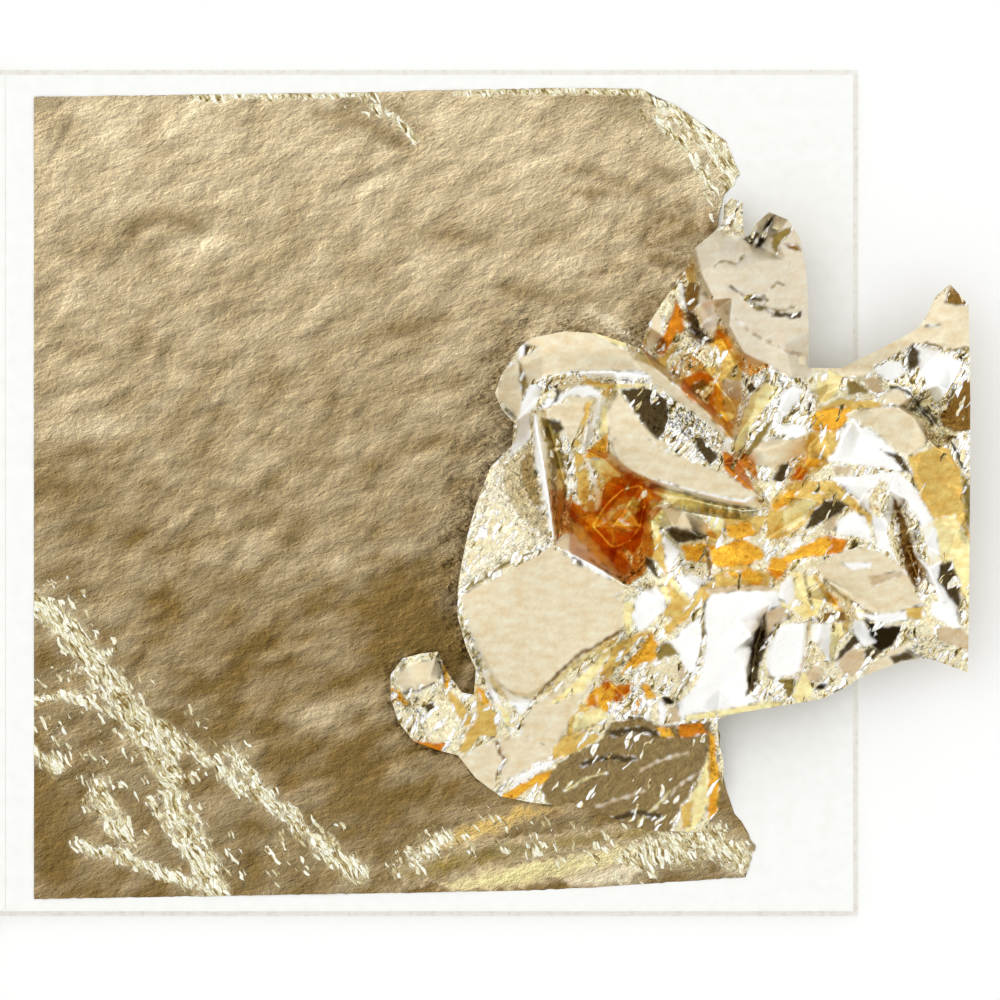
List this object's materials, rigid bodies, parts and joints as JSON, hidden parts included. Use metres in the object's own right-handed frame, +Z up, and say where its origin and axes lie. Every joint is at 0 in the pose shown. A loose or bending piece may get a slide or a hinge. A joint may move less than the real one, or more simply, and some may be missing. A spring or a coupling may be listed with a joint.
{
  "type": "gold leaf booklet",
  "caption": "Open side-stapled booklet of loose metal leaf between tissue pages, one leaf torn and one crumpled on top.",
  "frame": {"origin": "middle of the back cover's underside, measured over the whole closed booklet", "axes": "+X from the stapled edge to the free edge, +Y towards the head of the page, +Z up from the table"},
  "size_m": [0.3226, 0.148, 0.0291],
  "materials": {
    "cover_card": "uncoated white card",
    "tissue_paper": "thin matt tissue",
    "metal_leaf": "beaten metal leaf, wrinkled",
    "staple_wire": "flat drawn wire"
  },
  "bodies": {
    "root": {"cover_spine": "cover_card", "staple_upper": "staple_wire", "staple_lower": "staple_wire", "tissue_stubs": "tissue_paper", "tissue_09": "tissue_paper", "tissue_10": "tissue_paper", "tissue_11": "tissue_paper", "tissue_12": "tissue_paper", "tissue_13": "tissue_paper", "tissue_14": "tissue_paper", "tissue_15": "tissue_paper", "tissue_16": "tissue_paper", "tissue_17": "tissue_paper", "tissue_18": "tissue_paper", "tissue_19": "tissue_paper", "tissue_20": "tissue_paper", "tissue_21": "tissue_paper", "tissue_22": "tissue_paper", "tissue_23": "tissue_paper", "tissue_24": "tissue_paper", "tissue_25": "tissue_paper", "tissue_26": "tissue_paper", "leaf_08": "metal_leaf", "leaf_09": "metal_leaf", "leaf_10": "metal_leaf", "leaf_11": "metal_leaf", "leaf_12": "metal_leaf", "leaf_13": "metal_leaf", "leaf_14": "metal_leaf", "leaf_15": "metal_leaf", "leaf_16": "metal_leaf", "leaf_17": "metal_leaf", "leaf_18": "metal_leaf", "leaf_19": "metal_leaf", "leaf_20": "metal_leaf", "leaf_21": "metal_leaf", "leaf_22": "metal_leaf", "leaf_23": "metal_leaf", "leaf_24": "metal_leaf", "leaf_25": "metal_leaf"},
    "front_cover": {"front_cover": "cover_card"},
    "turned_page_1": {"tissue_01": "tissue_paper"},
    "turned_page_2": {"tissue_02": "tissue_paper"},
    "back_cover": {"back_cover": "cover_card"},
    "page_3": {"tissue_03": "tissue_paper"},
    "torn_leaf": {"torn_leaf": "metal_leaf"},
    "crumpled_leaf": {"crumpled_leaf": "metal_leaf"},
    "page_4": {"tissue_04": "tissue_paper", "leaf_03": "metal_leaf"},
    "page_5": {"tissue_05": "tissue_paper", "leaf_04": "metal_leaf"},
    "page_6": {"tissue_06": "tissue_paper", "leaf_05": "metal_leaf"},
    "page_7": {"tissue_07": "tissue_paper", "leaf_06": "metal_leaf"},
    "page_8": {"tissue_08": "tissue_paper", "leaf_07": "metal_leaf"}
  },
  "joints": [
    {"name": "front_cover_turn", "type": "hinge", "parent": "root", "child": "front_cover", "pos_m": [-0.07082, 0, 0.00406], "axis": [0, 1, 0], "range_deg": [0, 150]},
    {"name": "turned_page_1_turn", "type": "hinge", "parent": "root", "child": "turned_page_1", "pos_m": [-0.07082, 0, 0.00406], "axis": [0, 1, 0], "range_deg": [0, 153.01]},
    {"name": "turned_page_2_turn", "type": "hinge", "parent": "root", "child": "turned_page_2", "pos_m": [-0.07082, 0, 0.00406], "axis": [0, 1, 0], "range_deg": [0, 156.01]},
    {"name": "back_cover_turn", "type": "hinge", "parent": "root", "child": "back_cover", "pos_m": [-0.071, 0, 0], "axis": [0, 1, 0], "range_deg": [0, 160]},
    {"name": "page_3_turn", "type": "hinge", "parent": "root", "child": "page_3", "pos_m": [-0.068, 0, 0.00253], "axis": [0, 1, 0], "range_deg": [-150, 0]},
    {"name": "page_4_turn", "type": "hinge", "parent": "root", "child": "page_4", "pos_m": [-0.0678, 0, 0.00244], "axis": [0, 1, 0], "range_deg": [-125.01, 0]},
    {"name": "page_5_turn", "type": "hinge", "parent": "root", "child": "page_5", "pos_m": [-0.0676, 0, 0.00235], "axis": [0, 1, 0], "range_deg": [-100.01, 0]},
    {"name": "page_6_turn", "type": "hinge", "parent": "root", "child": "page_6", "pos_m": [-0.0674, 0, 0.00226], "axis": [0, 1, 0], "range_deg": [-75.01, 0]},
    {"name": "page_7_turn", "type": "hinge", "parent": "root", "child": "page_7", "pos_m": [-0.0672, 0, 0.00217], "axis": [0, 1, 0], "range_deg": [-50.01, 0]},
    {"name": "page_8_turn", "type": "hinge", "parent": "root", "child": "page_8", "pos_m": [-0.067, 0, 0.00208], "axis": [0, 1, 0], "range_deg": [-25.01, 0]},
    {"name": "torn_leaf_lift", "type": "slide", "parent": "page_3", "child": "torn_leaf", "axis": [0, 0, 1], "range_m": [0, 0.1]},
    {"name": "crumpled_leaf_lift", "type": "slide", "parent": "torn_leaf", "child": "crumpled_leaf", "axis": [0, 0, 1], "range_m": [0, 0.1]}
  ],
  "couplings": [
    {"joint": "turned_page_1_turn", "follows": "front_cover_turn", "ratio": 1.02},
    {"joint": "turned_page_2_turn", "follows": "front_cover_turn", "ratio": 1.04},
    {"joint": "page_4_turn", "follows": "page_3_turn", "ratio": 0.83333},
    {"joint": "page_5_turn", "follows": "page_3_turn", "ratio": 0.66667},
    {"joint": "page_6_turn", "follows": "page_3_turn", "ratio": 0.5},
    {"joint": "page_7_turn", "follows": "page_3_turn", "ratio": 0.33333},
    {"joint": "page_8_turn", "follows": "page_3_turn", "ratio": 0.16667}
  ]
}
